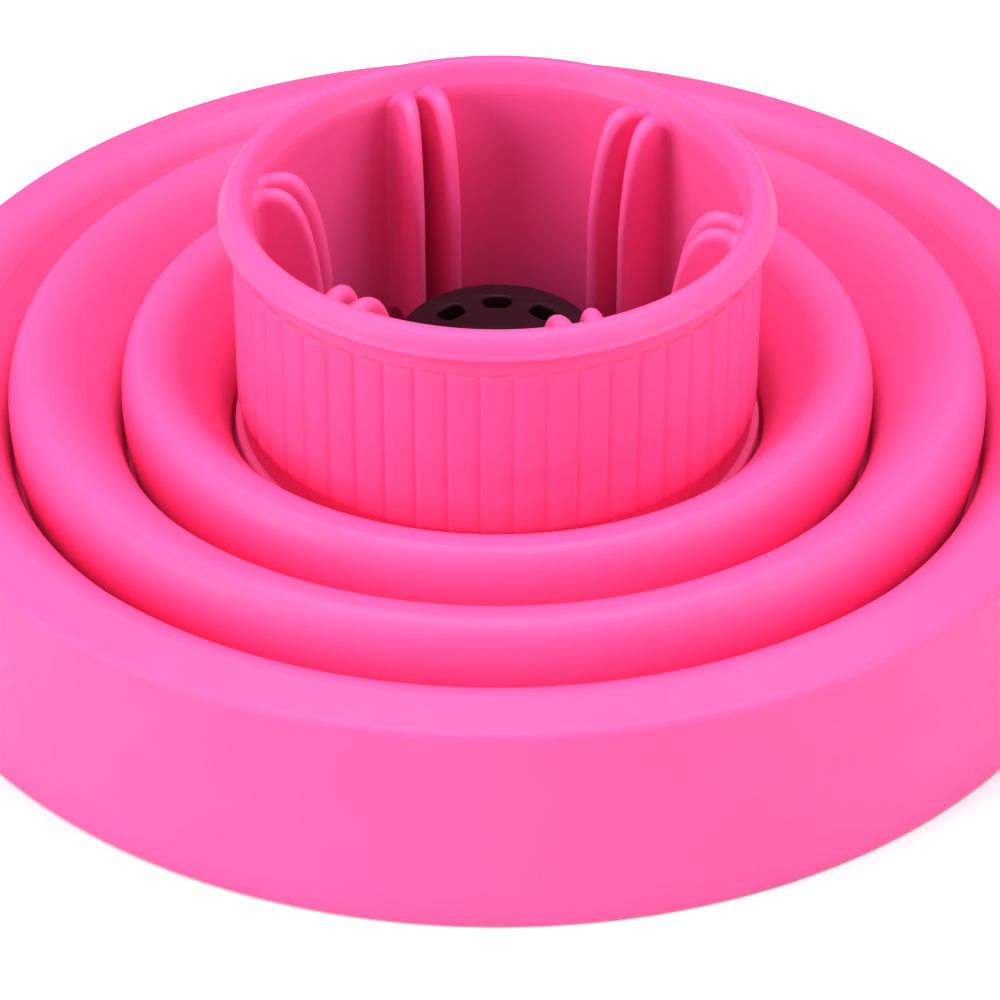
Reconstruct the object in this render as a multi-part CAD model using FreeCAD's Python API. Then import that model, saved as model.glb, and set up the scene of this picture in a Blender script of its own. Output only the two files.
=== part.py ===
import FreeCAD, Part
import math
import os

# Collapsible silicone dryer diffuser, stored folded flat with the nozzle collar up.
# Millimetres. +Z runs up the air axis towards the collar; the origin is the centre of
# the rim's bottom edge, where the diffuser stands.

# ---- rim: the outermost, tall silicone band ----
RIM_BASE_R = 72.9
RIM_TOP_R = 71.2
RIM_WALL_Z = 23.6
RIM_WALL = 2.6
RIM_EDGE_ROUND = 0.6
SHOULDER_R = 70.0
SHOULDER_Z = 24.95
BEVEL_R = 66.0
BEVEL_Z = 25.9
RIM_LIP_R = 62.1
RIM_LIP_Z = 24.2

# ---- folding rings: widest point, crest, crest's inner edge, foot radius ----
MIDDLE = {"wide": (57.4, 21.5), "crest": (54.3, 27.8), "edge": (48.3, 24.2), "foot_r": 56.5}
INNER = {"wide": (44.2, 21.4), "crest": (41.6, 27.9), "edge": (37.2, 26.1), "foot_r": 43.3}
RING_WALL = 2.0
CREST_WALL = 2.1
EDGE_WALL = 1.4
FOOT_Z = 14.0
FOLD_WALL = 1.1
FOLD_GAP = 1.0

# ---- collar: the sleeve that grips the dryer's nozzle ----
BORE_R = 28.1
SLEEVE_R = 30.65
PLAIN_R = 30.4
FLUTE_COUNT = 52
FLUTE_START = -86.7
FLUTE_DEPTH = 0.3
FLUTE_Z0 = 21.4
FLUTE_Z1 = 42.6
LIP_R = 32.1
LIP_Z0 = 45.35
LIP_TOP_Z = 48.3
LIP_RIDGE_R = 29.9
LIP_CREASE_Z = 45.6
COLLAR_FOOT_R = 31.0
COLLAR_FOOT_Z = 18.0
FOLD_FOOT_R = 30.5

# ---- grip fins: six pairs inside the collar ----
PAIR_COUNT = 6
PAIR_START = 50.3
FIN_TIP_R = 20.2
FIN_TOP_Z = 45.8
FIN_BROW = (24.2, 47.5)
FIN_NOSE = (21.5, 46.8)
FIN_NECK_Z = 32.5
FIN_BASE_Z = 16.0
FIN_ROOT_OFFSET = 1.65
FIN_TIP_OFFSET = 2.3
FIN_ROOT_HALF = 1.3
FIN_TIP_HALF = 0.6

# ---- grille: plastic parts snapped into the rim ----
FRAME_OUT_R = 69.75
FRAME_IN_R = 64.0
FRAME_Z0 = 7.6
FRAME_Z1 = 10.6
HEM_R = 68.3
HEM_Z0 = 5.0
PLATE_Z0 = 8.2
PLATE_Z1 = 10.2
SLOT_RINGS = [
    {"in": 18.2, "out": 24.8, "count": 12},
    {"in": 27.5, "out": 35.0, "count": 18},
    {"in": 38.0, "out": 47.0, "count": 24},
    {"in": 50.0, "out": 60.0, "count": 30},
]
SLOT_BAR = 2.6
SLOT_CORNER = 1.2
RIB_COUNT = 6
RIB_WIDTH = 1.8
RIB_Z0 = 5.4
RIB_END_GAP = 0.1
HUB_IN_R = 13.0
HUB_OUT_R = 16.0
HUB_PLATE_R = 17.0
TOWER_FOOT_R = 15.0
TOWER_TOP_R = 11.1
TOWER_WALL = 1.5
TOWER_TOP_Z = 26.2
TOWER_SLOTS = 12
TOWER_SLOT_W = 3.0
TOWER_SLOT_Z0 = 12.5
TOWER_SLOT_Z1 = 24.0
CAP_R = 11.6
CAP_Z1 = 27.8
CAP_ROUND = 0.6
WINDOW_COUNT = 8
WINDOW_IN_R = 6.5
WINDOW_OUT_R = 8.8
WINDOW_HALF = 12.5
WINDOW_CORNER = 0.8

AXIS = FreeCAD.Vector(0, 0, 1)
ORIGIN = FreeCAD.Vector(0, 0, 0)


def at(r, z):
    """Point of a revolved section."""
    return FreeCAD.Vector(r, 0, z)


def polar(r, degrees, z=0.0):
    """Point at a radius and angle round the axis."""
    a = math.radians(degrees)
    return FreeCAD.Vector(r * math.cos(a), r * math.sin(a), z)


def line(a, b):
    return Part.makeLine(a, b)


def bezier(*poles):
    curve = Part.BezierCurve()
    curve.setPoles(list(poles))
    return curve.toShape()


def arc(a, mid, b):
    return Part.Arc(a, mid, b).toShape()


def revolve(edges):
    """Solid of revolution from a closed section."""
    face = Part.Face(Part.Wire(edges))
    return face.revolve(ORIGIN, AXIS, 360)


def tube(r_in, r_out, z0, z1):
    outer = Part.makeCylinder(r_out, z1 - z0, at(0, z0))
    return outer.cut(Part.makeCylinder(r_in, z1 - z0, at(0, z0)))


def sector_cutter(r_in, r_out, centre, half, corner, z0, z1):
    """Prism over an annular sector with rounded upright corners."""
    a0 = centre - half
    a1 = centre + half
    edges = [
        arc(polar(r_in, a0, z0), polar(r_in, centre, z0), polar(r_in, a1, z0)),
        line(polar(r_in, a1, z0), polar(r_out, a1, z0)),
        arc(polar(r_out, a1, z0), polar(r_out, centre, z0), polar(r_out, a0, z0)),
        line(polar(r_out, a0, z0), polar(r_in, a0, z0)),
    ]
    prism = Part.Face(Part.Wire(edges)).extrude(at(0, z1 - z0))
    upright = [e for e in prism.Edges if abs(e.tangentAt(e.FirstParameter).z) > 0.99]
    return prism.makeFillet(corner, upright)


def under_edge(edge):
    """Underside end of a crest's inner edge, where the fold's skin begins."""
    return at(edge[0] + 0.75 * EDGE_WALL, edge[1] - 0.66 * EDGE_WALL)


def rim_top_in():
    """Inner top corner of the rim's wall, where its crest begins."""
    return at(RIM_TOP_R - RIM_WALL, RIM_WALL_Z - 1.5)


def rim_wall():
    """Tall tapered outer band, with the step inside that seats the grille."""
    seat_r = FRAME_OUT_R + 0.05
    wall_r = RIM_BASE_R - RIM_WALL
    r = RIM_EDGE_ROUND
    edges = [
        arc(at(RIM_BASE_R - r, 0), at(RIM_BASE_R - 0.29 * r, 0.29 * r), at(RIM_BASE_R, r)),
        line(at(RIM_BASE_R, r), at(RIM_TOP_R, RIM_WALL_Z)),
        line(at(RIM_TOP_R, RIM_WALL_Z), rim_top_in()),
        line(rim_top_in(), at(seat_r, FRAME_Z1)),
        line(at(seat_r, FRAME_Z1), at(seat_r, HEM_Z0)),
        line(at(seat_r, HEM_Z0), at(wall_r, HEM_Z0 - 0.4)),
        line(at(wall_r, HEM_Z0 - 0.4), at(wall_r, r)),
        arc(at(wall_r, r), at(wall_r + 0.29 * r, 0.29 * r), at(wall_r + r, 0)),
        line(at(wall_r + r, 0), at(RIM_BASE_R - r, 0)),
    ]
    return revolve(edges)


def rim_crest():
    """Bevelled shoulder that carries the rim inwards to the outer fold."""
    lip = at(RIM_LIP_R, RIM_LIP_Z)
    under = under_edge((RIM_LIP_R, RIM_LIP_Z))
    top_in = rim_top_in()
    edges = [
        bezier(at(RIM_TOP_R, RIM_WALL_Z), at(RIM_TOP_R - 0.05, RIM_WALL_Z + 0.7),
               at(SHOULDER_R + 0.8, SHOULDER_Z - 0.15), at(SHOULDER_R, SHOULDER_Z)),
        line(at(SHOULDER_R, SHOULDER_Z), at(BEVEL_R, BEVEL_Z)),
        bezier(at(BEVEL_R, BEVEL_Z), at(65.0, 26.1), at(64.0, 26.0), lip),
        line(lip, under),
        bezier(under, at(64.2, 24.2), at(65.0, 24.0), at(BEVEL_R, 23.7)),
        bezier(at(BEVEL_R, 23.7), at(68.2, 23.3), at(top_in.x, 22.6), top_in),
        line(top_in, at(RIM_TOP_R, RIM_WALL_Z)),
    ]
    return revolve(edges)


def rim_hem():
    """Bead under the grille frame that keeps it in its seat."""
    out_r = FRAME_OUT_R + 0.05
    bottom = at(out_r, HEM_Z0)
    shelf = at(HEM_R, FRAME_Z0)
    return revolve([
        bezier(bottom, at(HEM_R - 0.3, HEM_Z0 + 0.3), at(HEM_R - 0.4, FRAME_Z0 - 0.5), shelf),
        line(shelf, at(out_r, FRAME_Z0)),
        line(at(out_r, FRAME_Z0), bottom),
    ])


def ring_wall(ring):
    """Leaning wall of a folding ring, from its foot up to its widest line."""
    wide = at(*ring["wide"])
    foot_r = ring["foot_r"]
    in_wide = wide - at(RING_WALL, 0)
    in_foot = at(foot_r - RING_WALL, FOOT_Z)
    edges = [
        bezier(at(foot_r, FOOT_Z), at(foot_r + 0.4, FOOT_Z + 2.4), wide - at(0, 2.6), wide),
        line(wide, in_wide),
        bezier(in_wide, in_wide - at(0, 2.6), in_foot + at(0.4, 2.4), in_foot),
        line(in_foot, at(foot_r, FOOT_Z)),
    ]
    return revolve(edges)


def under_crest(ring):
    return at(ring["crest"][0] - 0.2, ring["crest"][1] - CREST_WALL)


def ring_shoulder(ring):
    """Outer half of a folding ring's roll, from its widest line up to its crest."""
    wide = at(*ring["wide"])
    crest = at(*ring["crest"])
    lean = wide.x - crest.x
    rise = crest.z - wide.z
    under_wide = wide - at(RING_WALL, 0)
    edges = [
        bezier(wide, wide + at(0, 0.75 * rise), crest + at(0.45 * lean, 0), crest),
        line(crest, under_crest(ring)),
        bezier(under_crest(ring), under_crest(ring) + at(0.3 * lean, 0),
               under_wide + at(0, 0.5 * rise), under_wide),
        line(under_wide, wide),
    ]
    return revolve(edges)


def ring_crest(ring):
    """Inner half of a folding ring's roll, from its crest down to its inner edge."""
    crest = at(*ring["crest"])
    edge = at(*ring["edge"])
    span = crest.x - edge.x
    under = under_edge(ring["edge"])
    edges = [
        bezier(crest, crest - at(0.5 * span, 0), edge + at(0.9, 0.95), edge),
        line(edge, under),
        bezier(under, under + at(0.15 * span, 0.16 * span), under_crest(ring) - at(0.4 * span, 0),
               under_crest(ring)),
        line(under_crest(ring), crest),
    ]
    return revolve(edges)


def fold_solid(edge, foot_out, foot_in):
    """Thin folding skin from a crest's inner edge down to the next ring's foot."""
    top = at(*edge)
    under = under_edge(edge)
    depth = top.z - FOOT_Z
    side = at(foot_out + FOLD_GAP, FOOT_Z + 0.24 * depth)
    floor_z = FOOT_Z - FOLD_WALL
    under_side = side + at(FOLD_WALL, -0.3)
    edges = [
        bezier(top, top - at(0.22 * depth, 0.27 * depth), side + at(0.06 * depth, 0.36 * depth),
               side),
        bezier(side, side - at(0.05, 1.2), at(foot_out + 0.7, FOOT_Z + 0.25), at(foot_out, FOOT_Z)),
        line(at(foot_out, FOOT_Z), at(foot_in, FOOT_Z)),
        line(at(foot_in, FOOT_Z), at(foot_in, floor_z)),
        line(at(foot_in, floor_z), at(foot_out, floor_z)),
        bezier(at(foot_out, floor_z), at(foot_out + 1.3, floor_z + 0.1), under_side - at(0.1, 1.4),
               under_side),
        bezier(under_side, under_side + at(0.06 * depth, 0.36 * depth),
               under - at(0.22 * depth, 0.27 * depth), under),
        line(under, top),
    ]
    return revolve(edges)


def collar_sleeve():
    """Straight nozzle sleeve, fluted outside between two plain bands."""
    step = 360.0 / FLUTE_COUNT
    valley_r = SLEEVE_R - FLUTE_DEPTH
    edges = []
    for i in range(FLUTE_COUNT):
        centre = FLUTE_START + (i + 0.5) * step
        edges.append(arc(polar(valley_r, centre - step / 2, FLUTE_Z0),
                         polar(SLEEVE_R, centre, FLUTE_Z0),
                         polar(valley_r, centre + step / 2, FLUTE_Z0)))
    fluted = Part.Face(Part.Wire(edges)).extrude(at(0, FLUTE_Z1 - FLUTE_Z0))
    plain = Part.makeCylinder(PLAIN_R - 0.15, LIP_Z0 - COLLAR_FOOT_Z, at(0, COLLAR_FOOT_Z))
    bore = Part.makeCylinder(BORE_R, LIP_Z0 - COLLAR_FOOT_Z, at(0, COLLAR_FOOT_Z))
    return fluted.fuse(plain).cut(bore)


def lip_slope():
    """Lip's inner side, from the crease on the bore up to the ridge."""
    crease = at(BORE_R, LIP_CREASE_Z)
    ridge = at(LIP_RIDGE_R, LIP_TOP_Z)
    return bezier(crease, crease + at(0.55, 1.1), ridge - at(0.9, 0), ridge)


def collar_lip():
    """Rolled lip: crisp lower edge that overhangs the sleeve, crease where it meets the bore."""
    ridge = at(LIP_RIDGE_R, LIP_TOP_Z)
    outer = at(LIP_R, LIP_Z0 + 0.4)
    waist = at(LIP_R - 0.25, LIP_Z0 + 0.9)
    edges = [
        line(at(BORE_R, LIP_Z0), at(BORE_R, LIP_CREASE_Z)),
        lip_slope(),
        bezier(ridge, ridge + at(1.2, 0), waist + at(-0.3, 1.0), waist),
        line(waist, outer),
        line(outer, at(LIP_R - 0.35, LIP_Z0)),
        line(at(LIP_R - 0.35, LIP_Z0), at(BORE_R, LIP_Z0)),
    ]
    return revolve(edges)


def collar_foot():
    """Bead at the sleeve's base that carries the innermost fold."""
    edges = [
        line(at(BORE_R, FOOT_Z), at(BORE_R, COLLAR_FOOT_Z)),
        line(at(BORE_R, COLLAR_FOOT_Z), at(FOLD_FOOT_R, COLLAR_FOOT_Z)),
        bezier(at(FOLD_FOOT_R, COLLAR_FOOT_Z), at(COLLAR_FOOT_R, COLLAR_FOOT_Z),
               at(COLLAR_FOOT_R, COLLAR_FOOT_Z - 0.4), at(COLLAR_FOOT_R, COLLAR_FOOT_Z - 0.8)),
        bezier(at(COLLAR_FOOT_R, COLLAR_FOOT_Z - 0.8), at(COLLAR_FOOT_R, FOOT_Z + 2.2),
               at(FOLD_FOOT_R + 0.3, FOOT_Z + 1.2), at(FOLD_FOOT_R, FOOT_Z)),
        line(at(FOLD_FOOT_R, FOOT_Z), at(BORE_R, FOOT_Z)),
    ]
    return revolve(edges)


def fin_side():
    """Fin outline in its own plane: rounded lead-in at the top, straight grip edge below."""
    root_r = BORE_R - 0.02
    top = at(root_r, FIN_TOP_Z)
    neck = at(FIN_TIP_R, FIN_NECK_Z)
    edges = [
        bezier(top, at(*FIN_BROW), at(*FIN_NOSE), neck),
        line(neck, at(FIN_TIP_R, FIN_BASE_Z)),
        line(at(FIN_TIP_R, FIN_BASE_Z), at(root_r, FIN_BASE_Z)),
        line(at(root_r, FIN_BASE_Z), top),
    ]
    face = Part.Face(Part.Wire(edges))
    face.translate(FreeCAD.Vector(0, -6, 0))
    return face.extrude(FreeCAD.Vector(0, 12, 0))


def fin_plan(side):
    """Fin seen from above: thick root on the bore, thinner rounded tip."""
    z0 = FIN_BASE_Z - 1
    tip_y = side * FIN_TIP_OFFSET
    root_y = side * FIN_ROOT_OFFSET
    neck_x = FIN_TIP_R + FIN_TIP_HALF
    root_x = BORE_R + 0.5
    tip_left = FreeCAD.Vector(neck_x, tip_y + FIN_TIP_HALF, z0)
    tip_right = FreeCAD.Vector(neck_x, tip_y - FIN_TIP_HALF, z0)
    tip_mid = FreeCAD.Vector(FIN_TIP_R, tip_y, z0)
    root_left = FreeCAD.Vector(root_x, root_y + FIN_ROOT_HALF, z0)
    root_right = FreeCAD.Vector(root_x, root_y - FIN_ROOT_HALF, z0)
    edges = [
        arc(tip_left, tip_mid, tip_right),
        line(tip_right, root_right),
        line(root_right, root_left),
        line(root_left, tip_left),
    ]
    return Part.Face(Part.Wire(edges)).extrude(at(0, LIP_TOP_Z - z0))


def grip_fin(pair, side):
    """One grip fin, trimmed to the bore it stands on."""
    fin = fin_side().common(fin_plan(side))
    fin = fin.common(Part.makeCylinder(BORE_R, LIP_TOP_Z))
    fin.rotate(ORIGIN, AXIS, PAIR_START + pair * 360.0 / PAIR_COUNT)
    return fin


def grille_frame():
    """Stiff ring that snaps into the rim and holds the plate's edge."""
    frame = tube(FRAME_IN_R, FRAME_OUT_R, FRAME_Z0, FRAME_Z1)
    seat = Part.makeCylinder(FRAME_IN_R + 1.5, FRAME_Z1 - PLATE_Z0, at(0, PLATE_Z0))
    return frame.cut(seat)


def grille_panel(index):
    """Sixth of the flat grille between two ribs, with its share of four rings of air slots."""
    span = 360.0 / RIB_COUNT
    start = index * span
    inner = [polar(HUB_PLATE_R, start + k * span / 2, PLATE_Z0) for k in range(3)]
    outer = [polar(FRAME_IN_R + 1.45, start + k * span / 2, PLATE_Z0) for k in range(3)]
    edges = [
        arc(*inner),
        line(inner[2], outer[2]),
        arc(outer[2], outer[1], outer[0]),
        line(outer[0], inner[0]),
    ]
    panel = Part.Face(Part.Wire(edges)).extrude(at(0, PLATE_Z1 - PLATE_Z0))
    cutters = []
    for ring in SLOT_RINGS:
        pitch = 360.0 / ring["count"]
        bar = math.degrees(SLOT_BAR / (ring["in"] + ring["out"]))
        for i in range(ring["count"] // RIB_COUNT):
            cutters.append(sector_cutter(ring["in"], ring["out"], start + (i + 0.5) * pitch,
                                         pitch / 2 - bar, SLOT_CORNER,
                                         PLATE_Z0 - 1, PLATE_Z1 + 1))
    return panel.cut(Part.makeCompound(cutters))


def grille_hub():
    """Round hub under the tower, open in the middle."""
    flange = tube(TOWER_FOOT_R - 3.0, HUB_PLATE_R, PLATE_Z0, PLATE_Z1)
    return flange.fuse(tube(HUB_IN_R, HUB_OUT_R, RIB_Z0, PLATE_Z0))


def grille_rib(index):
    """One of the spokes that stiffen the grille from below."""
    rib = Part.makeBox(FRAME_IN_R - RIB_END_GAP, RIB_WIDTH, PLATE_Z0 - RIB_Z0,
                       FreeCAD.Vector(0, -RIB_WIDTH / 2, RIB_Z0))
    rib = rib.cut(Part.makeCylinder(HUB_OUT_R, PLATE_Z1, ORIGIN))
    rib.rotate(ORIGIN, AXIS, index * 360.0 / RIB_COUNT)
    return rib


def guide_tower():
    """Tapered air guide standing on the plate, with upright slots round its wall."""
    height = TOWER_TOP_Z - PLATE_Z1
    outer = Part.makeCone(TOWER_FOOT_R, TOWER_TOP_R, height, at(0, PLATE_Z1))
    inner = Part.makeCone(TOWER_FOOT_R - TOWER_WALL, TOWER_TOP_R - TOWER_WALL, height,
                          at(0, PLATE_Z1))
    wall = outer.cut(inner)
    slot = Part.makeBox(TOWER_FOOT_R + 2, TOWER_SLOT_W, TOWER_SLOT_Z1 - TOWER_SLOT_Z0,
                        FreeCAD.Vector(0, -TOWER_SLOT_W / 2, TOWER_SLOT_Z0))
    slots = []
    for i in range(TOWER_SLOTS):
        turned = slot.copy()
        turned.rotate(ORIGIN, AXIS, (i + 0.5) * 360.0 / TOWER_SLOTS)
        slots.append(turned)
    return wall.cut(Part.makeCompound(slots))


def guide_cap():
    """Round cap on the tower with a ring of air windows."""
    cap = Part.makeCylinder(CAP_R, CAP_Z1 - TOWER_TOP_Z, at(0, TOWER_TOP_Z))
    top_edge = [e for e in cap.Edges if e.isClosed() and abs(e.CenterOfMass.z - CAP_Z1) < 0.01]
    cap = cap.makeFillet(CAP_ROUND, top_edge)
    windows = []
    for i in range(WINDOW_COUNT):
        windows.append(sector_cutter(WINDOW_IN_R, WINDOW_OUT_R, 90.0 + i * 360.0 / WINDOW_COUNT,
                                     WINDOW_HALF, WINDOW_CORNER, TOWER_TOP_Z - 1, CAP_Z1 + 1))
    return cap.cut(Part.makeCompound(windows))


def build_all():
    rim_edge = (RIM_LIP_R, RIM_LIP_Z)
    parts = {
        "rim_wall": rim_wall(),
        "rim_crest": rim_crest(),
        "rim_hem": rim_hem(),
        "outer_fold": fold_solid(rim_edge, MIDDLE["foot_r"], MIDDLE["foot_r"] - RING_WALL),
        "middle_wall": ring_wall(MIDDLE),
        "middle_shoulder": ring_shoulder(MIDDLE),
        "middle_crest": ring_crest(MIDDLE),
        "middle_fold": fold_solid(MIDDLE["edge"], INNER["foot_r"], INNER["foot_r"] - RING_WALL),
        "inner_wall": ring_wall(INNER),
        "inner_shoulder": ring_shoulder(INNER),
        "inner_crest": ring_crest(INNER),
        "inner_fold": fold_solid(INNER["edge"], FOLD_FOOT_R, BORE_R),
        "collar_foot": collar_foot(),
        "collar_sleeve": collar_sleeve(),
        "collar_lip": collar_lip(),
        "grille_frame": grille_frame(),
        "grille_hub": grille_hub(),
        "guide_tower": guide_tower(),
        "guide_cap": guide_cap(),
    }
    for index in range(RIB_COUNT):
        parts["grille_panel_%d" % (index + 1)] = grille_panel(index)
        parts["grille_rib_%d" % (index + 1)] = grille_rib(index)
    for pair in range(PAIR_COUNT):
        parts["grip_fin_%da" % (pair + 1)] = grip_fin(pair, -1)
        parts["grip_fin_%db" % (pair + 1)] = grip_fin(pair, 1)
    return parts


os.makedirs("parts", exist_ok=True)
for node, shape in build_all().items():
    box = shape.BoundBox
    print("%-14s valid %s solids %d z %.2f..%.2f r %.2f volume %.0f" % (
        node, shape.isValid(), len(shape.Solids), box.ZMin, box.ZMax, box.XMax, shape.Volume))
    shape.exportStep("parts/%s.step" % node)
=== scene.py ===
import math

import bmesh
import bpy
import numpy as np
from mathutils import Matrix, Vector


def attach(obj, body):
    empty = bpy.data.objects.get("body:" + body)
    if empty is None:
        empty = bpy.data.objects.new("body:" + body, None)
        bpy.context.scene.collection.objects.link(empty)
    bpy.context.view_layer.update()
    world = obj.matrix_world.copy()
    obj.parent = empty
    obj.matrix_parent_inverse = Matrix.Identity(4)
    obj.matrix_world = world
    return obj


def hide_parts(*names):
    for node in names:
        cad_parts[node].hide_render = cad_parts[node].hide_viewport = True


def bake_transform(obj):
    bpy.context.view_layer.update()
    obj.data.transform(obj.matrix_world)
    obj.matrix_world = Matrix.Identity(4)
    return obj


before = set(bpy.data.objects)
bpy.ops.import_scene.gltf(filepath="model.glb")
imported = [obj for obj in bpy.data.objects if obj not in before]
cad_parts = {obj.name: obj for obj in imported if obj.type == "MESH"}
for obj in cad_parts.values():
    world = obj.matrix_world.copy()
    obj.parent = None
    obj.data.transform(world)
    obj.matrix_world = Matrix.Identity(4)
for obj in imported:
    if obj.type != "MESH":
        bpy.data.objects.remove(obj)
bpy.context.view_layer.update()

# Looks of a collapsible silicone dryer diffuser. Sections and sizes below are in
# millimetres, like the part's own source; meshes are made in metres.
MM = 0.001

# ---- rim ----
RIM_BASE_R = 72.9
RIM_TOP_R = 71.2
RIM_WALL_Z = 23.6
RIM_WALL = 2.6
RIM_EDGE_ROUND = 0.6
SHOULDER = (70.0, 24.95)
BEVEL = (66.0, 25.9)
BEVEL_WALL = 2.2
RIM_LIP = (62.1, 24.2)
SEAT_R = 69.8

# ---- folding rings ----
MIDDLE = {"wide": (57.4, 21.5), "crest": (54.3, 27.8), "edge": (48.3, 24.2), "foot_r": 56.5}
INNER = {"wide": (44.2, 21.4), "crest": (41.6, 27.9), "edge": (37.2, 26.1), "foot_r": 43.3}
RING_WALL = 2.0
CREST_WALL = 2.1
EDGE_WALL = 1.4
FOOT_Z = 14.0
FOLD_WALL = 1.1
FOLD_GAP = 1.0

# ---- collar ----
BORE_R = 28.1
PLAIN_R = 30.15
FLUTE_R = 30.62
PAD_CROWN = 0.3
GROOVE_WIDTH = 0.09
GROOVE_DEPTH = 0.6
FLUTE_RAMP = 0.35
# columns across one flute, from -0.5 to 0.5 of its pitch, closer together near the grooves
FLUTE_COLUMNS = [-0.5, -0.47, -0.43, -0.38, -0.31, -0.18, 0.0, 0.18, 0.31, 0.38, 0.43, 0.47]
FLUTE_COUNT = 52
FLUTE_START = -86.7
FLUTE_Z0 = 21.4
FLUTE_Z1 = 42.6
LIP_R = 32.1
LIP_Z0 = 45.35
LIP_TOP_Z = 48.3
LIP_RIDGE_R = 29.9
LIP_CREASE_Z = 45.6
COLLAR_FOOT_R = 31.0
COLLAR_FOOT_Z = 18.0
FOLD_FOOT_R = 30.5

# ---- grip fins ----
PAIR_COUNT = 6
PAIR_START = 50.3
FIN_TIP_R = 20.2
FIN_TOP_Z = 45.8
FIN_BROW = (24.2, 47.5)
FIN_NOSE = (21.5, 46.8)
FIN_NECK_Z = 32.5
FIN_BASE_Z = 16.0
FIN_ROOT_OFFSET = 1.65
FIN_TIP_OFFSET = 2.3
FIN_ROOT_HALF = 1.3
FIN_TIP_HALF = 0.6
FIN_FILLET = 1.3
FIN_CREST_FILLET = 0.1
FIN_BURY = 0.15
FIN_FINE_LENGTH = 1.6
FIN_ROW_DROP = 5.0

# ---- grille ----
FRAME_IN_R = 64.0
FRAME_OUT_R = 69.75
FRAME_Z0 = 7.6
FRAME_Z1 = 10.6
HEM_R = 68.3
HEM_Z0 = 5.0
PLATE_R = 65.4
PLATE_Z0 = 8.2
PLATE_Z1 = 10.2
PLATE_HOLE_R = 12.0
SLOT_RINGS = [(18.2, 24.8, 12), (27.5, 35.0, 18), (38.0, 47.0, 24), (50.0, 60.0, 30)]
SLOT_BAR = 2.6
SLOT_CORNER = 1.2
RIB_COUNT = 6
RIB_WIDTH = 1.8
RIB_Z0 = 5.4
HUB_IN_R = 13.0
HUB_OUT_R = 16.0
TOWER_FOOT_R = 15.0
TOWER_TOP_R = 11.1
TOWER_WALL = 1.5
TOWER_TOP_Z = 26.2
TOWER_SLOTS = 12
TOWER_SLOT_W = 3.0
TOWER_SLOT_Z = (12.5, 24.0)
TOWER_SLOT_STEPS = 4
TOWER_POST_STEPS = 6
TOWER_EDGE = 0.25
CAP_R = 11.6
CAP_Z1 = 27.8
WINDOW_COUNT = 8
WINDOW_R = (6.5, 8.8)
WINDOW_HALF = 12.5
WINDOW_CORNER = 0.8

EDGE = 0.3
SEGMENTS = 384
SHARP = math.radians(38)

# ---- stage, in metres ----
FLOOR_HALF = 3.0
LIGHT_AIM = (0, 0, 0.02)
CAMERA_DISTANCE = 0.5161
CAMERA_RISE = math.radians(35.93)
CAMERA_PITCH = math.radians(35.54)


# ------------------------------------------------------------------ meshes

def cubic(p0, p1, p2, p3, count):
    """Points along a cubic curve, its end left out."""
    t = np.linspace(0.0, 1.0, count, endpoint=False)[:, None]
    p0, p1, p2, p3 = (np.array(p, float) for p in (p0, p1, p2, p3))
    return ((1 - t) ** 3) * p0 + 3 * t * (1 - t) ** 2 * p1 + 3 * t * t * (1 - t) * p2 + t ** 3 * p3


def straight(a, b, count):
    """Points from a towards b, b left out."""
    t = np.linspace(0.0, 1.0, count, endpoint=False)[:, None]
    return (1 - t) * np.array(a, float) + t * np.array(b, float)


def moved(p, r, z):
    """Point of a section shifted in radius and height."""
    return (p[0] + r, p[1] + z)


def placed(name, mesh, material):
    """Object for a mesh, with its material."""
    mesh.shade_smooth()
    mesh.set_sharp_from_angle(angle=SHARP)
    mesh.materials.clear()
    mesh.materials.append(material)
    piece = bpy.data.objects.new(name, mesh)
    bpy.context.scene.collection.objects.link(piece)
    return piece


def new_object(name, points, faces, material):
    """Smooth mesh object from points in millimetres, sharp only at real corners."""
    mesh = bpy.data.meshes.new(name)
    mesh.from_pydata([tuple(p) for p in np.asarray(points) * MM], [], faces)
    mesh.validate()
    work = bmesh.new()
    work.from_mesh(mesh)
    bmesh.ops.recalc_face_normals(work, faces=work.faces)
    work.to_mesh(mesh)
    work.free()
    return placed(name, mesh, material)


def lathe(name, section, material, segments=SEGMENTS):
    """Closed solid of revolution from pieces of a closed (radius, height) section."""
    section = np.vstack(section)
    count = len(section)
    angle = np.arange(segments) * (2 * math.pi / segments) - math.pi / 2
    r = section[None, :, 0]
    z = np.broadcast_to(section[None, :, 1], (segments, count))
    points = np.stack([r * np.cos(angle)[:, None], r * np.sin(angle)[:, None], z], axis=2)
    faces = []
    for i in range(segments):
        k = (i + 1) % segments
        for j in range(count):
            n = (j + 1) % count
            faces.append((i * count + j, i * count + n, k * count + n, k * count + j))
    return new_object(name, points.reshape(-1, 3), faces, material)


def under_edge(edge):
    """Underside end of a crest's inner edge, where the fold's skin begins."""
    return (edge[0] + 0.75 * EDGE_WALL, edge[1] - 0.66 * EDGE_WALL)


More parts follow.
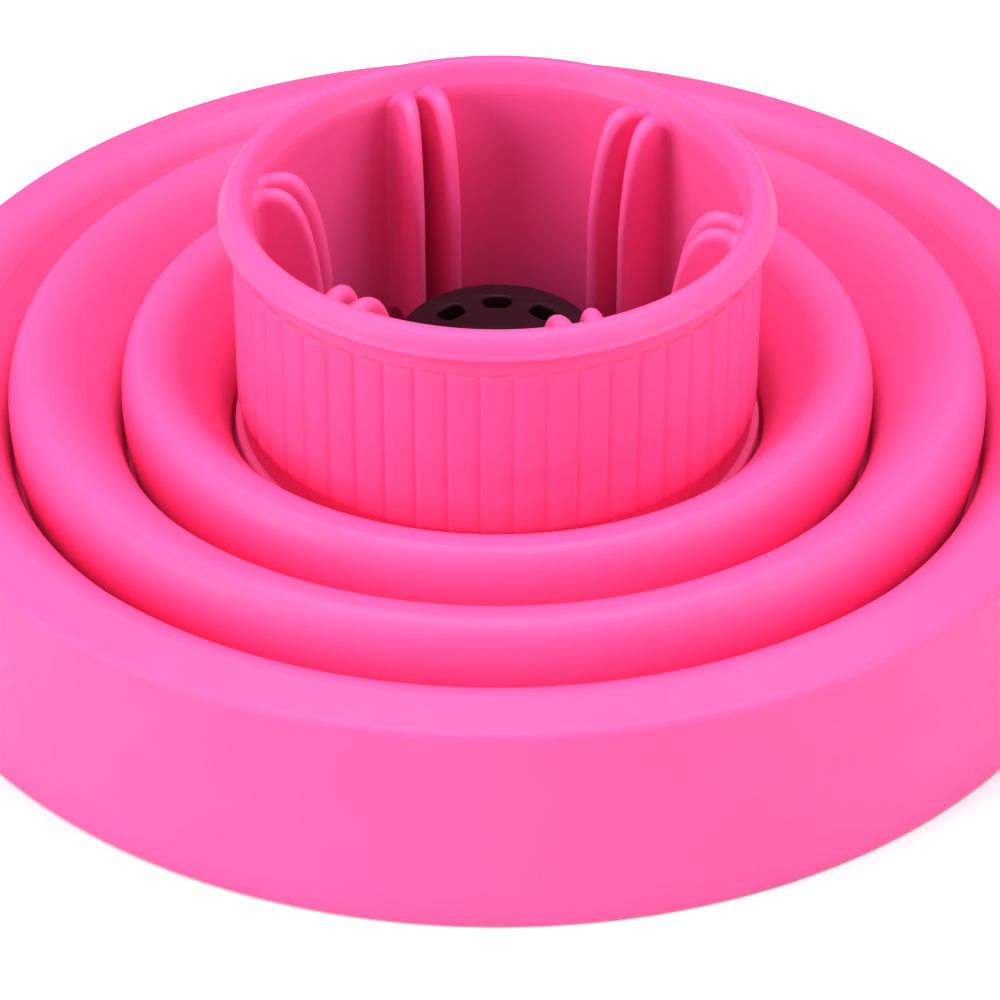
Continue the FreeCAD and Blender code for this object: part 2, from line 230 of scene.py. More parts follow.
def rim_section():
    """Tall band, crisp shoulder and bevel, and the seat for the grille inside."""
    under = under_edge(RIM_LIP)
    bend = (BEVEL[0], BEVEL[1] - BEVEL_WALL)
    wall_r = RIM_BASE_R - RIM_WALL
    top_in = (RIM_TOP_R - RIM_WALL, RIM_WALL_Z - 1.5)
    e = RIM_EDGE_ROUND
    k = 0.45 * e
    return [
        cubic((RIM_BASE_R - e, 0), (RIM_BASE_R - k, 0), (RIM_BASE_R, k), (RIM_BASE_R, e), 6),
        straight((RIM_BASE_R, e), (RIM_TOP_R, RIM_WALL_Z), 24),
        cubic((RIM_TOP_R, RIM_WALL_Z), (RIM_TOP_R - 0.05, RIM_WALL_Z + 0.7),
              moved(SHOULDER, 0.8, -0.15), SHOULDER, 14),
        straight(SHOULDER, BEVEL, 6),
        cubic(BEVEL, moved(BEVEL, -1.0, 0.2), moved(RIM_LIP, 1.9, 1.8), RIM_LIP, 18),
        straight(RIM_LIP, under, 2),
        cubic(under, moved(under, 1.05, 0.924), moved(bend, -1.0, 0.3), bend, 8),
        cubic(bend, moved(bend, 2.2, -0.4), moved(top_in, 0, 0.5), top_in, 10),
        straight(top_in, (SEAT_R, FRAME_Z1), 4),
        straight((SEAT_R, FRAME_Z1), (SEAT_R, HEM_Z0), 3),
        straight((SEAT_R, HEM_Z0), (wall_r, HEM_Z0 - 0.4), 2),
        straight((wall_r, HEM_Z0 - 0.4), (wall_r, e), 4),
        cubic((wall_r, e), (wall_r, k), (wall_r + k, 0), (wall_r + e, 0), 5),
        straight((wall_r + e, 0), (RIM_BASE_R - e, 0), 2),
    ]


def hem_section():
    """Bead inside the rim, under the grille's frame."""
    bottom = (SEAT_R, HEM_Z0)
    shelf = (HEM_R, FRAME_Z0)
    return [
        cubic(bottom, (HEM_R - 0.3, HEM_Z0 + 0.3), (HEM_R - 0.4, FRAME_Z0 - 0.5), shelf, 12),
        straight(shelf, (SEAT_R, FRAME_Z0), 2),
        straight((SEAT_R, FRAME_Z0), bottom, 2),
    ]


def ring_section(ring):
    """Leaning wall that rolls over into a broad crest."""
    wide, crest, edge, foot_r = ring["wide"], ring["crest"], ring["edge"], ring["foot_r"]
    span = crest[0] - edge[0]
    lean = wide[0] - crest[0]
    rise = crest[1] - wide[1]
    under = under_edge(edge)
    under_crest = (crest[0] - 0.2, crest[1] - CREST_WALL)
    under_wide = (wide[0] - RING_WALL, wide[1])
    foot = (foot_r, FOOT_Z)
    in_foot = (foot_r - RING_WALL, FOOT_Z)
    return [
        cubic(foot, moved(foot, 0.4, 2.4), moved(wide, 0, -2.6), wide, 14),
        cubic(wide, moved(wide, 0, 0.75 * rise), moved(crest, 0.45 * lean, 0), crest, 22),
        cubic(crest, moved(crest, -0.5 * span, 0), moved(edge, 0.9, 0.95), edge, 24),
        straight(edge, under, 2),
        cubic(under, moved(under, 0.15 * span, 0.16 * span),
              moved(under_crest, -0.4 * span, 0), under_crest, 10),
        cubic(under_crest, moved(under_crest, 0.3 * lean, 0), moved(under_wide, 0, 0.5 * rise),
              under_wide, 8),
        cubic(under_wide, moved(under_wide, 0, -2.6), moved(in_foot, 0.4, 2.4), in_foot, 8),
        straight(in_foot, foot, 2),
    ]


def fold_section(edge, foot_out, foot_in):
    """Thin folding skin from a crest's inner edge down to the next ring's foot."""
    under = under_edge(edge)
    depth = edge[1] - FOOT_Z
    side = (foot_out + FOLD_GAP, FOOT_Z + 0.24 * depth)
    floor_z = FOOT_Z - FOLD_WALL
    under_side = moved(side, FOLD_WALL, -0.3)
    return [
        cubic(edge, moved(edge, -0.22 * depth, -0.27 * depth),
              moved(side, 0.06 * depth, 0.36 * depth), side, 22),
        cubic(side, moved(side, -0.05, -1.2), (foot_out + 0.7, FOOT_Z + 0.25),
              (foot_out, FOOT_Z), 12),
        straight((foot_out, FOOT_Z), (foot_in, FOOT_Z), 2),
        straight((foot_in, FOOT_Z), (foot_in, floor_z), 2),
        straight((foot_in, floor_z), (foot_out, floor_z), 2),
        cubic((foot_out, floor_z), (foot_out + 1.3, floor_z + 0.1), moved(under_side, -0.1, -1.4),
              under_side, 12),
        cubic(under_side, moved(under_side, 0.06 * depth, 0.36 * depth),
              moved(under, -0.22 * depth, -0.27 * depth), under, 22),
        straight(under, edge, 2),
    ]


def collar_foot_outline():
    """Foot bead, from the floor at the bore up the outside to the sleeve."""
    top = (FOLD_FOOT_R, COLLAR_FOOT_Z)
    side = (COLLAR_FOOT_R, COLLAR_FOOT_Z - 0.8)
    return np.vstack([
        straight((BORE_R, FOOT_Z), (FOLD_FOOT_R, FOOT_Z), 3),
        cubic((FOLD_FOOT_R, FOOT_Z), (FOLD_FOOT_R + 0.3, FOOT_Z + 1.2),
              (COLLAR_FOOT_R, FOOT_Z + 2.2), side, 12),
        cubic(side, moved(side, 0, 0.4), (COLLAR_FOOT_R, COLLAR_FOOT_Z), top, 8),
        straight(top, (PLAIN_R, COLLAR_FOOT_Z + 0.2), 3),
    ])


def flute_heights():
    """Heights up the sleeve, each with how far the flutes have risen there, from 0 to 1."""
    low = [(COLLAR_FOOT_Z + 0.2, 0.0), (FLUTE_Z0 - FLUTE_RAMP, 0.0), (FLUTE_Z0, 0.75),
           (FLUTE_Z0 + 0.6 * FLUTE_RAMP, 1.0)]
    middle = [(z, 1.0) for z in np.linspace(FLUTE_Z0 + 1.0, FLUTE_Z1 - 1.0, 9)]
    high = [(FLUTE_Z1 - 0.5 * FLUTE_RAMP, 1.0), (FLUTE_Z1 - 0.15 * FLUTE_RAMP, 0.8),
            (FLUTE_Z1 + 0.2 * FLUTE_RAMP, 0.1), (FLUTE_Z1 + 0.4 * FLUTE_RAMP, 0.0)]
    return low + middle + high


def lip_slope(count):
    """Lip's inner side, from its ridge down to the crease on the bore."""
    crease = (BORE_R, LIP_CREASE_Z)
    ridge = (LIP_RIDGE_R, LIP_TOP_Z)
    return cubic(ridge, moved(ridge, -0.9, 0), moved(crease, 0.55, 1.1), crease, count)


def lip_outline():
    """Rolled lip with a crisp lower edge, then the bore down to the foot's floor."""
    ridge = (LIP_RIDGE_R, LIP_TOP_Z)
    under = (LIP_R - 0.35, LIP_Z0)
    outer = (LIP_R, LIP_Z0 + 0.4)
    waist = (LIP_R - 0.25, LIP_Z0 + 0.9)
    return np.vstack([
        straight((PLAIN_R, LIP_Z0 - 0.15), (PLAIN_R + 0.15, LIP_Z0), 2),
        straight((PLAIN_R + 0.15, LIP_Z0), under, 3),
        cubic(under, moved(under, 0.25, 0), moved(outer, 0, -0.3), outer, 6),
        straight(outer, waist, 3),
        cubic(waist, moved(waist, -0.3, 1.0), moved(ridge, 1.2, 0), ridge, 24),
        lip_slope(20),
        straight((BORE_R, LIP_CREASE_Z), (BORE_R, FOOT_Z), 18),
    ])


def collar_outline():
    """Closed collar section up the outside and down the bore: rows of radius, height and how
    far the flutes have risen there."""
    foot = collar_foot_outline()
    fluted = np.array([(PLAIN_R, z, raised) for z, raised in flute_heights()])
    lip = lip_outline()
    plain_foot = np.hstack([foot, np.zeros((len(foot), 1))])
    plain_lip = np.hstack([lip, np.zeros((len(lip), 1))])
    return np.vstack([plain_foot, fluted, plain_lip])


def collar(material):
    """Whole collar in one skin: foot bead, fluted sleeve and rolled lip round one bore."""
    spread = np.array(FLUTE_COLUMNS)
    turn = np.concatenate([spread + i for i in range(FLUTE_COUNT)]) / FLUTE_COUNT
    angle = (turn + 0.5 / FLUTE_COUNT) * 2 * math.pi + math.radians(FLUTE_START)
    across = np.tile(spread, FLUTE_COUNT)
    groove = np.exp(-((0.5 - np.abs(across)) / GROOVE_WIDTH) ** 2)
    crown = 1.0 - PAD_CROWN * (2 * across) ** 2
    stand_out = (FLUTE_R - PLAIN_R) * crown * (1 - GROOVE_DEPTH * groove)
    rows = []
    for r, z, raised in collar_outline():
        around = r + stand_out * raised
        rows.append(np.stack([around * np.cos(angle), around * np.sin(angle),
                              np.full(len(angle), z)], axis=1))
    count = len(angle)
    faces = []
    for i in range(len(rows)):
        n = (i + 1) % len(rows)
        for j in range(count):
            k = (j + 1) % count
            faces.append((i * count + j, i * count + k, n * count + k, n * count + j))
    return new_object("collar_skin", np.vstack(rows), faces, material)


def bore_wall(z):
    """Radius of the bore at a height; above the crease it opens along the lip's inner slope."""
    slope = np.vstack([lip_slope(60), [(BORE_R, LIP_CREASE_Z)]])[::-1]
    return np.interp(z, slope[:, 1], slope[:, 0])


def fin_lead(count):
    """Curved top of a fin's crest, from the bore's wall over and down to its straight edge."""
    start = (bore_wall(FIN_TOP_Z), FIN_TOP_Z)
    return cubic(start, FIN_BROW, FIN_NOSE, (FIN_TIP_R, FIN_NECK_Z), count)


def fin_crest():
    """Crest line of a fin without its fillet, drawn on past the wall so distances hold there."""
    return np.vstack([
        straight((BORE_R + 6.0, FIN_TOP_Z), (bore_wall(FIN_TOP_Z), FIN_TOP_Z), 60),
        fin_lead(240),
        straight((FIN_TIP_R, FIN_NECK_Z), (FIN_TIP_R, FIN_BASE_Z - 6.0), 160),
    ])


def fin_flare(c, z):
    """How much a fillet to the bore's wall adds at cylindrical radius c."""
    near = np.clip(FIN_FILLET - (bore_wall(z) - c), 0.0, FIN_FILLET)
    return FIN_FILLET - np.sqrt(FIN_FILLET ** 2 - near ** 2)


def depth_below_crest(c, z):
    """Distance of points from a fin's crest line, negative outside it."""
    crest = fin_crest()
    flat = np.stack([c.ravel(), z.ravel()], axis=1)
    gap = np.linalg.norm(flat[:, None, :] - crest[None, :, :], axis=2)
    nearest = gap.argmin(axis=1)
    along_crest = np.gradient(crest, axis=0)[nearest]
    offset = flat - crest[nearest]
    turned = along_crest[:, 0] * offset[:, 1] - along_crest[:, 1] * offset[:, 0]
    return np.where(turned < 0, -gap.min(axis=1), gap.min(axis=1)).reshape(c.shape)


def fin_row_starts():
    """Points down a fin's crest where its rows begin, and how many of them are on its curve."""
    lead = fin_lead(300)
    steps = np.linalg.norm(np.diff(lead, axis=0), axis=1)
    along = np.concatenate([[0.0], np.cumsum(steps)])
    wanted = np.concatenate([np.linspace(0.0, FIN_FINE_LENGTH, 12, endpoint=False),
                             np.linspace(FIN_FINE_LENGTH, along[-1], 30)])
    starts = np.stack([np.interp(wanted, along, lead[:, 0]), np.interp(wanted, along, lead[:, 1])],
                      axis=1)
    starts[:, 1] += FIN_CREST_FILLET * fin_flare(starts[:, 0], starts[:, 1])
    below = straight((FIN_TIP_R, starts[-1, 1] - 1.0), (FIN_TIP_R, FIN_BASE_Z), 12)
    return np.vstack([starts, below, [(FIN_TIP_R, FIN_BASE_Z)]]), len(wanted)


def fin_grid():
    """Rows from the crest to the wall: cylindrical radius, height and half thickness."""
    starts, curved = fin_row_starts()
    share = np.clip(np.arange(len(starts)) / (curved - 1.0), 0, 1)
    ends_z = starts[:, 1] - (1 - share) * FIN_ROW_DROP
    t = 1 - np.cos(np.linspace(0, math.pi / 2, 24))
    z = starts[:, 1:] + (ends_z[:, None] - starts[:, 1:]) * t
    c = starts[:, :1] + (bore_wall(z) - starts[:, :1]) * t
    flare = fin_flare(c, z)
    share_c = np.clip((BORE_R - c) / (BORE_R - FIN_TIP_R), 0.0, 1.0)
    body = FIN_ROOT_HALF + (FIN_TIP_HALF - FIN_ROOT_HALF) * share_c + flare
    inside = np.clip(depth_below_crest(c, z) + FIN_CREST_FILLET * flare, 0.0, None)
    short = np.clip(body - inside, 0.0, None)
    half = np.sqrt(np.clip(body ** 2 - short ** 2, 0.0, None))
    half[:, 0] = 0.0
    return c, z, half, share_c


def fin_sheets(pair, side):
    """Both faces of a fin as grids of points, its ends sunk a little into the bore's wall."""
    c, z, half, share_c = fin_grid()
    middle = side * (FIN_ROOT_OFFSET + (FIN_TIP_OFFSET - FIN_ROOT_OFFSET) * share_c)
    turn = math.radians(PAIR_START + pair * 360.0 / PAIR_COUNT)
    buried = c.copy()
    buried[:, -1] += FIN_BURY
    buried[0, :] += FIN_BURY
    sheets = []
    for way in (1, -1):
        y = middle + way * half
        x = np.sqrt(buried ** 2 - y ** 2)
        sheets.append(np.stack([x * math.cos(turn) - y * math.sin(turn),
                                x * math.sin(turn) + y * math.cos(turn), z], axis=2))
    return sheets


def fin_faces(rows, cols):
    """Faces of a fin's two sheets, which share their first column, the crest."""
    size = rows * cols

    def at(sheet, i, j):
        return (0 if j == 0 else sheet * size) + i * cols + j

    faces = []
    for i in range(rows - 1):
        for j in range(cols - 1):
            faces.append((at(0, i, j), at(0, i, j + 1), at(0, i + 1, j + 1), at(0, i + 1, j)))
            faces.append((at(1, i, j), at(1, i + 1, j), at(1, i + 1, j + 1), at(1, i, j + 1)))
    for i in range(rows - 1):
        j = cols - 1
        faces.append((at(0, i, j), at(1, i, j), at(1, i + 1, j), at(0, i + 1, j)))
    for i in (0, rows - 1):
        for j in range(cols - 1):
            faces.append((at(0, i, j), at(1, i, j), at(1, i, j + 1), at(0, i, j + 1)))
    return faces


def merge_collapsed(mesh):
    """Closes up the places where a grid runs together, and drops what is left loose."""
    work = bmesh.new()
    work.from_mesh(mesh)
    bmesh.ops.remove_doubles(work, verts=work.verts, dist=1e-7)
    bmesh.ops.dissolve_degenerate(work, edges=work.edges, dist=1e-8)
    loose = [v for v in work.verts if not v.link_faces]
    bmesh.ops.delete(work, geom=loose, context="VERTS")
    bmesh.ops.recalc_face_normals(work, faces=work.faces)
    work.to_mesh(mesh)
    work.free()
    mesh.set_sharp_from_angle(angle=SHARP)


def fin(name, pair, side, material):
    """One grip fin: rounded crest, thicker root and a fillet where it leaves the bore."""
    sheets = fin_sheets(pair, side)
    rows, cols = sheets[0].shape[:2]
    points = np.vstack([sheet.reshape(-1, 3) for sheet in sheets])
    piece = new_object(name, points, fin_faces(rows, cols), material)
    merge_collapsed(piece.data)
    return piece


# ------------------------------------------------------------------ grille

def circle_loop(radius, count=240):
    """Closed round outline."""
    a = np.arange(count) * (2 * math.pi / count)
    return np.stack([radius * np.cos(a), radius * np.sin(a)], axis=1)


def sector_loop(r_in, r_out, centre, half, corner):
    """Outline of an annular sector with rounded corners, angles in degrees."""
    middle_in = r_in + corner
    middle_out = r_out - corner
    turn_in = half - math.degrees(math.asin(corner / middle_in))
    turn_out = half - math.degrees(math.asin(corner / middle_out))
    loop = []
    corners = [(middle_in, turn_in, -1, 1, True), (middle_out, turn_out, 1, 1, False),
               (middle_out, -turn_out, 1, -1, True), (middle_in, -turn_in, -1, -1, False)]
    sweep = np.linspace(0, math.pi / 2, 6)[:, None]
    for r, turn, outward, side, radial_first in corners:
        a = math.radians(centre + turn)
        radial = np.array([math.cos(a), math.sin(a)]) * outward
        tangent = np.array([-math.sin(a), math.cos(a)]) * side
        first, last = (radial, tangent) if radial_first else (tangent, radial)
        middle = r * np.array([math.cos(a), math.sin(a)])
        loop.append(middle + corner * (first * np.cos(sweep) + last * np.sin(sweep)))
    steps = np.linspace(-1, 1, 10)[1:-1]
    over = np.radians(centre - turn_out * steps)
    under = np.radians(centre + turn_in * steps)
    outer = np.stack([r_out * np.cos(over), r_out * np.sin(over)], axis=1)
    inner = np.stack([r_in * np.cos(under), r_in * np.sin(under)], axis=1)
    return np.vstack([loop[0], loop[1], outer, loop[2], loop[3], inner])


def plate(name, loops, z0, z1, bevel, material):
    """Flat plate from closed outlines, which the rounded edge then widens by the bevel."""
    curve = bpy.data.curves.new(name, "CURVE")
    curve.dimensions = "2D"
    curve.fill_mode = "BOTH"
    curve.extrude = ((z1 - z0) / 2 - bevel) * MM
    curve.bevel_depth = bevel * MM
    curve.bevel_resolution = 2
    for loop in loops:
        spline = curve.splines.new("POLY")
        spline.points.add(len(loop) - 1)
        for point, (x, y) in zip(spline.points, loop):
            point.co = (x * MM, y * MM, 0, 1)
        spline.use_cyclic_u = True
    drawn = bpy.data.objects.new(name, curve)
    bpy.context.scene.collection.objects.link(drawn)
    bpy.context.view_layer.update()
    mesh = bpy.data.meshes.new_from_object(drawn.evaluated_get(
        bpy.context.evaluated_depsgraph_get()))
    bpy.data.objects.remove(drawn)
    work = bmesh.new()
    work.from_mesh(mesh)
    bmesh.ops.remove_doubles(work, verts=work.verts, dist=1e-7)
    bmesh.ops.recalc_face_normals(work, faces=work.faces)
    bmesh.ops.translate(work, verts=work.verts, vec=(0, 0, (z0 + z1) / 2 * MM))
    work.to_mesh(mesh)
    work.free()
    return placed(name, mesh, material)


def opening_loop(r_in, r_out, centre, half, corner, bevel):
    """Outline of an opening, drawn larger by the bevel that closes in on it."""
    grow = math.degrees(2 * bevel / (r_in + r_out))
    return sector_loop(r_in - bevel, r_out + bevel, centre, half + grow, corner + bevel)


def slot_loops(bevel):
    """Outlines of the flat grille's air slots, ring by ring."""
    loops = []
    for r_in, r_out, count in SLOT_RINGS:
        pitch = 360.0 / count
        bar = math.degrees(SLOT_BAR / (r_in + r_out))
        for i in range(count):
            loops.append(opening_loop(r_in, r_out, (i + 0.5) * pitch, pitch / 2 - bar,
                                      SLOT_CORNER, bevel))
    return loops


def window_loops(bevel):
    """Outlines of the cap's windows."""
    return [opening_loop(WINDOW_R[0], WINDOW_R[1], 90.0 + i * 360.0 / WINDOW_COUNT, WINDOW_HALF,
                         WINDOW_CORNER, bevel) for i in range(WINDOW_COUNT)]


def bar_loop(r0, r1, width, bevel):
    """Outline of a straight rib along +X."""
    h = width / 2 - bevel
    return np.array([(r0 + bevel, -h), (r1 - bevel, -h), (r1 - bevel, h), (r0 + bevel, h)])


def rounded_tube(r_in, r_out, z0, z1, e):
    """Section of a ring with rounded edges."""
    k = 0.45 * e
    return [
        cubic((r_out - e, z0), (r_out - k, z0), (r_out, z0 + k), (r_out, z0 + e), 4),
        straight((r_out, z0 + e), (r_out, z1 - e), 2),
        cubic((r_out, z1 - e), (r_out, z1 - k), (r_out - k, z1), (r_out - e, z1), 4),
        straight((r_out - e, z1), (r_in + e, z1), 2),
        cubic((r_in + e, z1), (r_in + k, z1), (r_in, z1 - k), (r_in, z1 - e), 4),
        straight((r_in, z1 - e), (r_in, z0 + e), 2),
        cubic((r_in, z0 + e), (r_in, z0 + k), (r_in + k, z0), (r_in + e, z0), 4),
        straight((r_in + e, z0), (r_out - e, z0), 2),
    ]


def grille_frame_section():
    """Outer ring with the shelf that the flat grille drops on to."""
    e = EDGE
    shelf_r = FRAME_IN_R + 1.5
    return [
        straight((FRAME_IN_R, FRAME_Z0 + e), (FRAME_IN_R, PLATE_Z0), 2)[::-1],
        cubic((FRAME_IN_R, FRAME_Z0 + e), (FRAME_IN_R, FRAME_Z0), (FRAME_IN_R, FRAME_Z0),
              (FRAME_IN_R + e, FRAME_Z0), 4),
        straight((FRAME_IN_R + e, FRAME_Z0), (FRAME_OUT_R - e, FRAME_Z0), 2),
        cubic((FRAME_OUT_R - e, FRAME_Z0), (FRAME_OUT_R, FRAME_Z0), (FRAME_OUT_R, FRAME_Z0),
              (FRAME_OUT_R, FRAME_Z0 + e), 4),
        cubic((FRAME_OUT_R, FRAME_Z1 - e), (FRAME_OUT_R, FRAME_Z1), (FRAME_OUT_R, FRAME_Z1),
              (FRAME_OUT_R - e, FRAME_Z1), 4),
        cubic((shelf_r + e, FRAME_Z1), (shelf_r, FRAME_Z1), (shelf_r, FRAME_Z1),
              (shelf_r, FRAME_Z1 - e), 4),
        straight((shelf_r, PLATE_Z0), (FRAME_IN_R, PLATE_Z0), 1),
    ]


def tower_row(z):
    """Points round the tower at one height: first across each slot, then across its post."""
    up = (z - PLATE_Z1) / (TOWER_TOP_Z - PLATE_Z1)
    r = TOWER_FOOT_R + (TOWER_TOP_R - TOWER_FOOT_R) * up
    half = math.asin(TOWER_SLOT_W / 2 / r)
    after = 2 * math.pi / TOWER_SLOTS - half
    across_slot = np.linspace(-half, half, TOWER_SLOT_STEPS + 1)
    across_post = np.linspace(half, after, TOWER_POST_STEPS + 1)[1:-1]
    row = []
    for i in range(TOWER_SLOTS):
        centre = 2 * math.pi * (i + 0.5) / TOWER_SLOTS
        for turn in np.concatenate([across_slot, across_post]):
            row.append((r * math.cos(centre + turn), r * math.sin(centre + turn), z))
    return row


def tower(material):
    """Tapered guide wall with upright slots, thickened and bevelled."""
    slot_z0, slot_z1 = TOWER_SLOT_Z
    slot_heights = list(np.linspace(slot_z0, slot_z1, 5))
    heights = [PLATE_Z1] + slot_heights + [TOWER_TOP_Z]
    points = []
    for z in heights:
        points += tower_row(z)
    per = TOWER_SLOT_STEPS + TOWER_POST_STEPS
    total = TOWER_SLOTS * per
    faces = []
    for i in range(len(heights) - 1):
        beside_slot = slot_z0 <= heights[i] and heights[i + 1] <= slot_z1
        for j in range(total):
            k = (j + 1) % total
            if not (beside_slot and j % per < TOWER_SLOT_STEPS):
                faces.append((i * total + j, i * total + k, (i + 1) * total + k,
                              (i + 1) * total + j))
    piece = new_object("guide_tower_wall", points, faces, material)
    wall = piece.modifiers.new("wall", "SOLIDIFY")
    wall.thickness = TOWER_WALL * MM
    wall.offset = -1
    wall.use_even_offset = True
    edge = piece.modifiers.new("edge", "BEVEL")
    edge.width = TOWER_EDGE * MM
    edge.segments = 2
    edge.limit_method = "ANGLE"
    edge.angle_limit = math.radians(50)
    edge.harden_normals = True
    return piece


# ------------------------------------------------------------------ materials

def noise(tree, coordinates, scale, detail, roughness=0.5):
    """Noise value at a number of cells per metre."""
    made = tree.nodes.new("ShaderNodeTexNoise")
    made.inputs["Scale"].default_value = scale
    made.inputs["Detail"].default_value = detail
    made.inputs["Roughness"].default_value = roughness
    tree.links.new(coordinates, made.inputs["Vector"])
    return made.outputs["Fac"]


def spread_to(tree, value, low, high):
    """Maps the middle of a noise to a range."""
    made = tree.nodes.new("ShaderNodeMapRange")
    made.inputs["From Min"].default_value = 0.3
    made.inputs["From Max"].default_value = 0.7
    made.inputs["To Min"].default_value = low
    made.inputs["To Max"].default_value = high
    tree.links.new(value, made.inputs["Value"])
    return made.outputs["Result"]


def mixed(tree, factor, first, second):
    """Colour between two, by a factor."""
    made = tree.nodes.new("ShaderNodeMix")
    made.data_type = "RGBA"
    made.inputs["A"].default_value = (*first, 1)
    made.inputs["B"].default_value = (*second, 1)
    tree.links.new(factor, made.inputs["Factor"])
    return made.outputs["Result"]


def moulded(name, light, dark, rough, grain_mm, grain, ripple, specular):
    """Moulded skin: cloudy colour, uneven gloss, a fine grain and a faint long ripple."""
    material = bpy.data.materials.new(name)
    material.use_nodes = True
    tree = material.node_tree
    shader = tree.nodes["Principled BSDF"]
    shader.inputs["Specular IOR Level"].default_value = specular
    where = tree.nodes.new("ShaderNodeTexCoord").outputs["Object"]
    clouds = noise(tree, where, 38.0, 4.0, 0.55)
    colour = mixed(tree, spread_to(tree, clouds, 0.0, 1.0), light, dark)
    tree.links.new(colour, shader.inputs["Base Color"])
    patches = noise(tree, where, 140.0, 5.0, 0.6)
    tree.links.new(spread_to(tree, patches, rough[0], rough[1]), shader.inputs["Roughness"])
    fine = noise(tree, where, 1000.0 / grain_mm, 2.0)
    long = noise(tree, where, 90.0, 2.0)
    first = tree.nodes.new("ShaderNodeBump")
    first.inputs["Strength"].default_value = ripple
    first.inputs["Distance"].default_value = 0.4 * MM
    tree.links.new(long, first.inputs["Height"])
    second = tree.nodes.new("ShaderNodeBump")
    second.inputs["Strength"].default_value = grain
    second.inputs["Distance"].default_value = 0.03 * MM
    tree.links.new(fine, second.inputs["Height"])
    tree.links.new(first.outputs["Normal"], second.inputs["Normal"])
    tree.links.new(second.outputs["Normal"], shader.inputs["Normal"])
    return material


SILICONE = moulded("silicone_pink", light=(0.99, 0.094, 0.342), dark=(0.98, 0.084, 0.315),
                   rough=(0.46, 0.58), grain_mm=0.35, grain=0.30, ripple=0.05, specular=0.3)
PLASTIC = moulded("grille_plastic", light=(0.022, 0.004, 0.009), dark=(0.017, 0.003, 0.007),
                  rough=(0.38, 0.55), grain_mm=0.5, grain=0.45, ripple=0.04, specular=0.12)


# ------------------------------------------------------------------ pieces

def set_on(piece, body, *nodes):
    """Rides a piece on its body in place of the plain solids that it shows."""
    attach(piece, body)
    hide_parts(*nodes)


def skin_fold(name, section, node_name):
    """A fold's skin, from the ring outside it down to the next one's foot, fixed where it stands
    in place of the plain fold solid.
    """
    piece = lathe(name, section, SILICONE)
    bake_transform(piece)
    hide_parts(node_name)


set_on(lathe("rim_band_skin", rim_section(), SILICONE), "rim", "rim_wall",
       "rim_crest")
set_on(lathe("rim_hem_bead", hem_section(), SILICONE), "rim", "rim_hem")
set_on(lathe("middle_ring_skin", ring_section(MIDDLE), SILICONE), "middle",
       "middle_wall", "middle_shoulder", "middle_crest")
set_on(lathe("inner_ring_skin", ring_section(INNER), SILICONE), "inner",
       "inner_wall", "inner_shoulder", "inner_crest")
set_on(collar(SILICONE), "collar", "collar_foot", "collar_sleeve", "collar_lip")
skin_fold("outer_fold_skin", fold_section(RIM_LIP, MIDDLE["foot_r"], MIDDLE["foot_r"] - RING_WALL),
          "outer_fold")
skin_fold("middle_fold_skin",
          fold_section(MIDDLE["edge"], INNER["foot_r"], INNER["foot_r"] - RING_WALL),
          "middle_fold")
skin_fold("inner_fold_skin", fold_section(INNER["edge"], FOLD_FOOT_R, BORE_R),
          "inner_fold")
for pair in range(PAIR_COUNT):
    for side, letter in ((-1, "a"), (1, "b")):
        label = "grip_fin_%d%s" % (pair + 1, letter)
        set_on(fin(label + "_blade", pair, side, SILICONE), "collar", label)

set_on(lathe("grille_outer_ring", grille_frame_section(), PLASTIC), "rim",
       "grille_frame")
disc_loops = [circle_loop(PLATE_R - EDGE), circle_loop(PLATE_HOLE_R + EDGE)] + slot_loops(EDGE)
set_on(plate("grille_slotted_disc", disc_loops, PLATE_Z0, PLATE_Z1, EDGE, PLASTIC), "rim",
       *["grille_panel_%d" % (i + 1) for i in range(RIB_COUNT)])
set_on(lathe("grille_hub_ring", rounded_tube(HUB_IN_R, HUB_OUT_R, RIB_Z0, PLATE_Z0 + EDGE, EDGE),
             PLASTIC), "rim", "grille_hub")
for index in range(RIB_COUNT):
    spoke = plate("grille_spoke_%d" % (index + 1),
                  [bar_loop(HUB_OUT_R - 0.6, FRAME_IN_R - 0.1, RIB_WIDTH, EDGE)],
                  RIB_Z0, PLATE_Z0 + EDGE, EDGE, PLASTIC)
    spoke.rotation_euler = (0, 0, math.radians(index * 360.0 / RIB_COUNT))
    set_on(spoke, "rim", "grille_rib_%d" % (index + 1))
set_on(tower(PLASTIC), "rim", "guide_tower")
cap_loops = [circle_loop(CAP_R - EDGE, 120)] + window_loops(EDGE)
set_on(plate("guide_cap_disc", cap_loops, TOWER_TOP_Z, CAP_Z1, EDGE, PLASTIC),
       "rim", "guide_cap")


# ------------------------------------------------------------------ stage

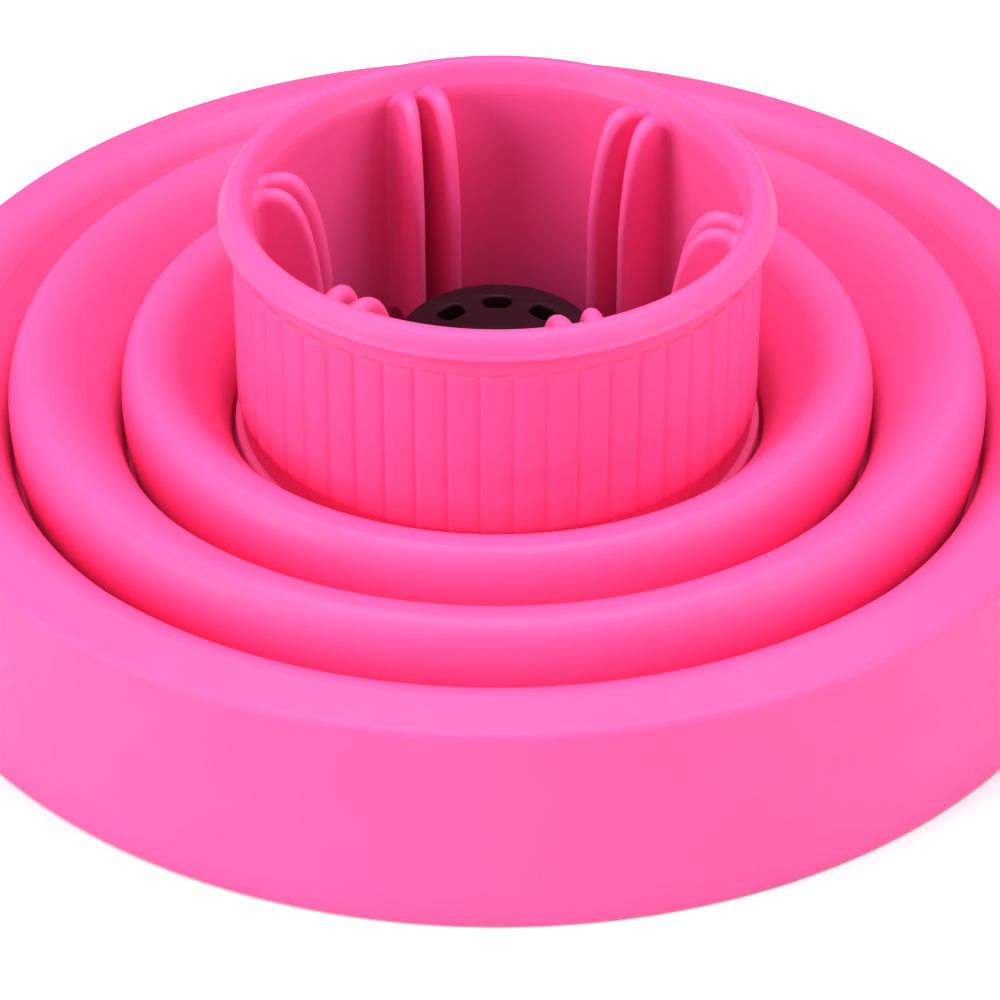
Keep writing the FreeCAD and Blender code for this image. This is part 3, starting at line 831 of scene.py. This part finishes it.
def floor():
    """Plain pale floor under the part."""
    mesh = bpy.data.meshes.new("floor")
    s = FLOOR_HALF
    mesh.from_pydata([(-s, -s, 0), (s, -s, 0), (s, s, 0), (-s, s, 0)], [], [(0, 1, 2, 3)])
    material = bpy.data.materials.new("floor_paper")
    material.use_nodes = True
    tree = material.node_tree
    shader = tree.nodes["Principled BSDF"]
    shader.inputs["Roughness"].default_value = 0.9
    shader.inputs["Specular IOR Level"].default_value = 0.1
    where = tree.nodes.new("ShaderNodeTexCoord").outputs["Object"]
    tooth = noise(tree, where, 60.0, 3.0)
    tree.links.new(mixed(tree, tooth, (0.90, 0.90, 0.90), (0.88, 0.88, 0.88)),
                   shader.inputs["Base Color"])
    mesh.materials.append(material)
    piece = bpy.data.objects.new("floor", mesh)
    bpy.context.scene.collection.objects.link(piece)


def softbox(name, place, size, power):
    """White rectangular light, aimed at the part's middle."""
    data = bpy.data.lights.new(name, "AREA")
    data.shape = "RECTANGLE"
    data.size = size[0]
    data.size_y = size[1]
    data.energy = power
    lamp = bpy.data.objects.new(name, data)
    lamp.location = place
    way = Vector(LIGHT_AIM) - Vector(place)
    lamp.rotation_euler = way.to_track_quat("-Z", "Y").to_euler()
    bpy.context.scene.collection.objects.link(lamp)


def camera():
    """Long lens on the front side, looking down at the folded diffuser."""
    data = bpy.data.cameras.new("camera")
    data.sensor_width = 36.0
    data.lens = 153.6
    data.shift_x = 0.00275
    data.clip_start = 0.05
    data.clip_end = 20.0
    made = bpy.data.objects.new("camera", data)
    made.location = (0, -CAMERA_DISTANCE * math.cos(CAMERA_RISE),
                     CAMERA_DISTANCE * math.sin(CAMERA_RISE))
    made.rotation_euler = (math.pi / 2 - CAMERA_PITCH, 0, 0)
    bpy.context.scene.collection.objects.link(made)
    bpy.context.scene.camera = made


floor()
world = bpy.data.worlds.new("studio")
world.use_nodes = True
world.node_tree.nodes["Background"].inputs["Color"].default_value = (1.0, 1.0, 1.0, 1)
world.node_tree.nodes["Background"].inputs["Strength"].default_value = 0.15
bpy.context.scene.world = world
softbox("top_softbox", (0.0, 0.02, 0.9), (0.9, 0.7), 9.9)
softbox("left_softbox", (-0.86, -0.45, 0.42), (0.6, 0.6), 8.9)
softbox("right_softbox", (0.88, -0.41, 0.42), (0.6, 0.6), 5.7)
camera()
bpy.context.scene.view_settings.view_transform = "Standard"
